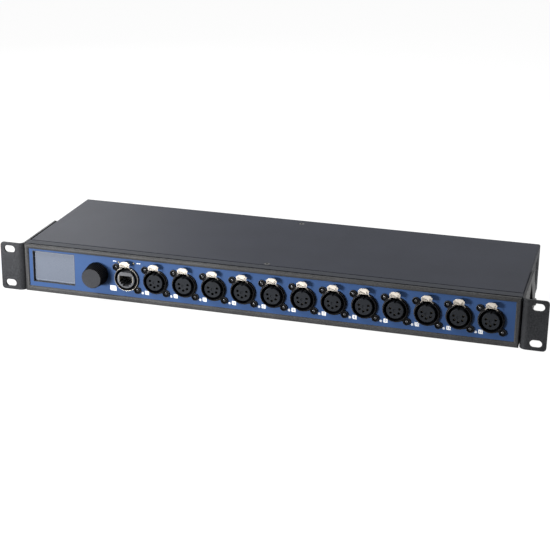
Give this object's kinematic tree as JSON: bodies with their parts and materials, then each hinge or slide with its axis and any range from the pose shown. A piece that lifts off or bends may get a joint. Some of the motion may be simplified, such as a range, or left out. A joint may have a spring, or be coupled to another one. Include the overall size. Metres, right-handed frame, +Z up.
{
  "type": "dmx gateway",
  "caption": "One-unit rack DMX gateway with a screen, a push encoder, a locking network socket and a row of latching five-contact outlets.",
  "frame": {"origin": "middle of the case's underside, half way along the case's depth", "axes": "+X to the right seen from the front, along the width; +Y to the back; +Z up"},
  "size_m": [0.4826, 0.1574, 0.0437],
  "materials": {
    "tray_paint": "fine textured black powder coat",
    "cover_paint": "fine textured black powder coat",
    "bezel_paint": "coarse textured black powder coat",
    "ear_paint": "textured black powder coat",
    "panel_blue": "satin blue",
    "frame_black": "matt black",
    "screen_glass": "grey screen behind clear glass, switched off",
    "board_green": "solder resist",
    "knob_black": "matt black, fluted",
    "steel": "plain",
    "screw_black": "black oxide",
    "shell_black": "black plated die-cast metal",
    "insert_grey": "dark grey moulding",
    "latch_nickel": "nickel, cast grain",
    "jack_grey": "grey moulding",
    "ring_nickel": "nickel",
    "supply_steel": "zinc-plated",
    "inlet_black": "black moulding"
  },
  "bodies": {
    "chassis": {"chassis_tray": "tray_paint", "top_cover": "cover_paint", "cover_screw_front": "screw_black", "cover_screw_rear": "screw_black", "front_bezel": "bezel_paint", "front_panel": "panel_blue", "left_ear": "ear_paint", "right_ear": "ear_paint", "display_frame": "frame_black", "display_screen": "screen_glass", "display_module": "frame_black", "encoder_body": "steel", "network_shell": "shell_black", "network_jack": "jack_grey", "network_ring": "ring_nickel", "main_board": "board_green", "power_supply": "supply_steel", "mains_inlet": "inlet_black", "rear_network_jack": "inlet_black", "xlr_shell_01": "shell_black", "xlr_insert_01": "insert_grey", "xlr_shell_02": "shell_black", "xlr_insert_02": "insert_grey", "xlr_shell_03": "shell_black", "xlr_insert_03": "insert_grey", "xlr_shell_04": "shell_black", "xlr_insert_04": "insert_grey", "xlr_shell_05": "shell_black", "xlr_insert_05": "insert_grey", "xlr_shell_06": "shell_black", "xlr_insert_06": "insert_grey", "xlr_shell_07": "shell_black", "xlr_insert_07": "insert_grey", "xlr_shell_08": "shell_black", "xlr_insert_08": "insert_grey", "xlr_shell_09": "shell_black", "xlr_insert_09": "insert_grey", "xlr_shell_10": "shell_black", "xlr_insert_10": "insert_grey", "xlr_shell_11": "shell_black", "xlr_insert_11": "insert_grey", "xlr_shell_12": "shell_black", "xlr_insert_12": "insert_grey"},
    "encoder_turn": {"encoder_rotor": "frame_black"},
    "knob": {"encoder_shaft": "steel", "encoder_knob": "knob_black"},
    "network_latch": {"network_latch": "latch_nickel"},
    "xlr_latch_01": {"xlr_latch_01": "latch_nickel"},
    "xlr_latch_02": {"xlr_latch_02": "latch_nickel"},
    "xlr_latch_03": {"xlr_latch_03": "latch_nickel"},
    "xlr_latch_04": {"xlr_latch_04": "latch_nickel"},
    "xlr_latch_05": {"xlr_latch_05": "latch_nickel"},
    "xlr_latch_06": {"xlr_latch_06": "latch_nickel"},
    "xlr_latch_07": {"xlr_latch_07": "latch_nickel"},
    "xlr_latch_08": {"xlr_latch_08": "latch_nickel"},
    "xlr_latch_09": {"xlr_latch_09": "latch_nickel"},
    "xlr_latch_10": {"xlr_latch_10": "latch_nickel"},
    "xlr_latch_11": {"xlr_latch_11": "latch_nickel"},
    "xlr_latch_12": {"xlr_latch_12": "latch_nickel"}
  },
  "joints": [
    {"name": "encoder_turn", "type": "hinge", "parent": "chassis", "child": "encoder_turn", "pos_m": [-0.1497, -0.0693, 0.0236], "axis": [0, 1, 0], "continuous": true},
    {"name": "knob_push", "type": "slide", "parent": "encoder_turn", "child": "knob", "axis": [0, 1, 0], "range_m": [0, 0.0005], "stiffness_N_per_m": 6000},
    {"name": "network_latch_press", "type": "hinge", "parent": "chassis", "child": "network_latch", "pos_m": [-0.1222, -0.0669, 0.0312], "axis": [1, 0, 0], "range_deg": [0, 6], "stiffness_Nm_per_rad": 0.15},
    {"name": "xlr_latch_01_press", "type": "hinge", "parent": "chassis", "child": "xlr_latch_01", "pos_m": [-0.09575, -0.0669, 0.0312], "axis": [1, 0, 0], "range_deg": [0, 6], "stiffness_Nm_per_rad": 0.15},
    {"name": "xlr_latch_02_press", "type": "hinge", "parent": "chassis", "child": "xlr_latch_02", "pos_m": [-0.06929, -0.0669, 0.0312], "axis": [1, 0, 0], "range_deg": [0, 6], "stiffness_Nm_per_rad": 0.15},
    {"name": "xlr_latch_03_press", "type": "hinge", "parent": "chassis", "child": "xlr_latch_03", "pos_m": [-0.04283, -0.0669, 0.0312], "axis": [1, 0, 0], "range_deg": [0, 6], "stiffness_Nm_per_rad": 0.15},
    {"name": "xlr_latch_04_press", "type": "hinge", "parent": "chassis", "child": "xlr_latch_04", "pos_m": [-0.01637, -0.0669, 0.0312], "axis": [1, 0, 0], "range_deg": [0, 6], "stiffness_Nm_per_rad": 0.15},
    {"name": "xlr_latch_05_press", "type": "hinge", "parent": "chassis", "child": "xlr_latch_05", "pos_m": [0.01009, -0.0669, 0.0312], "axis": [1, 0, 0], "range_deg": [0, 6], "stiffness_Nm_per_rad": 0.15},
    {"name": "xlr_latch_06_press", "type": "hinge", "parent": "chassis", "child": "xlr_latch_06", "pos_m": [0.03655, -0.0669, 0.0312], "axis": [1, 0, 0], "range_deg": [0, 6], "stiffness_Nm_per_rad": 0.15},
    {"name": "xlr_latch_07_press", "type": "hinge", "parent": "chassis", "child": "xlr_latch_07", "pos_m": [0.06301, -0.0669, 0.0312], "axis": [1, 0, 0], "range_deg": [0, 6], "stiffness_Nm_per_rad": 0.15},
    {"name": "xlr_latch_08_press", "type": "hinge", "parent": "chassis", "child": "xlr_latch_08", "pos_m": [0.08947, -0.0669, 0.0312], "axis": [1, 0, 0], "range_deg": [0, 6], "stiffness_Nm_per_rad": 0.15},
    {"name": "xlr_latch_09_press", "type": "hinge", "parent": "chassis", "child": "xlr_latch_09", "pos_m": [0.11593, -0.0669, 0.0312], "axis": [1, 0, 0], "range_deg": [0, 6], "stiffness_Nm_per_rad": 0.15},
    {"name": "xlr_latch_10_press", "type": "hinge", "parent": "chassis", "child": "xlr_latch_10", "pos_m": [0.14239, -0.0669, 0.0312], "axis": [1, 0, 0], "range_deg": [0, 6], "stiffness_Nm_per_rad": 0.15},
    {"name": "xlr_latch_11_press", "type": "hinge", "parent": "chassis", "child": "xlr_latch_11", "pos_m": [0.16885, -0.0669, 0.0312], "axis": [1, 0, 0], "range_deg": [0, 6], "stiffness_Nm_per_rad": 0.15},
    {"name": "xlr_latch_12_press", "type": "hinge", "parent": "chassis", "child": "xlr_latch_12", "pos_m": [0.19531, -0.0669, 0.0312], "axis": [1, 0, 0], "range_deg": [0, 6], "stiffness_Nm_per_rad": 0.15}
  ]
}
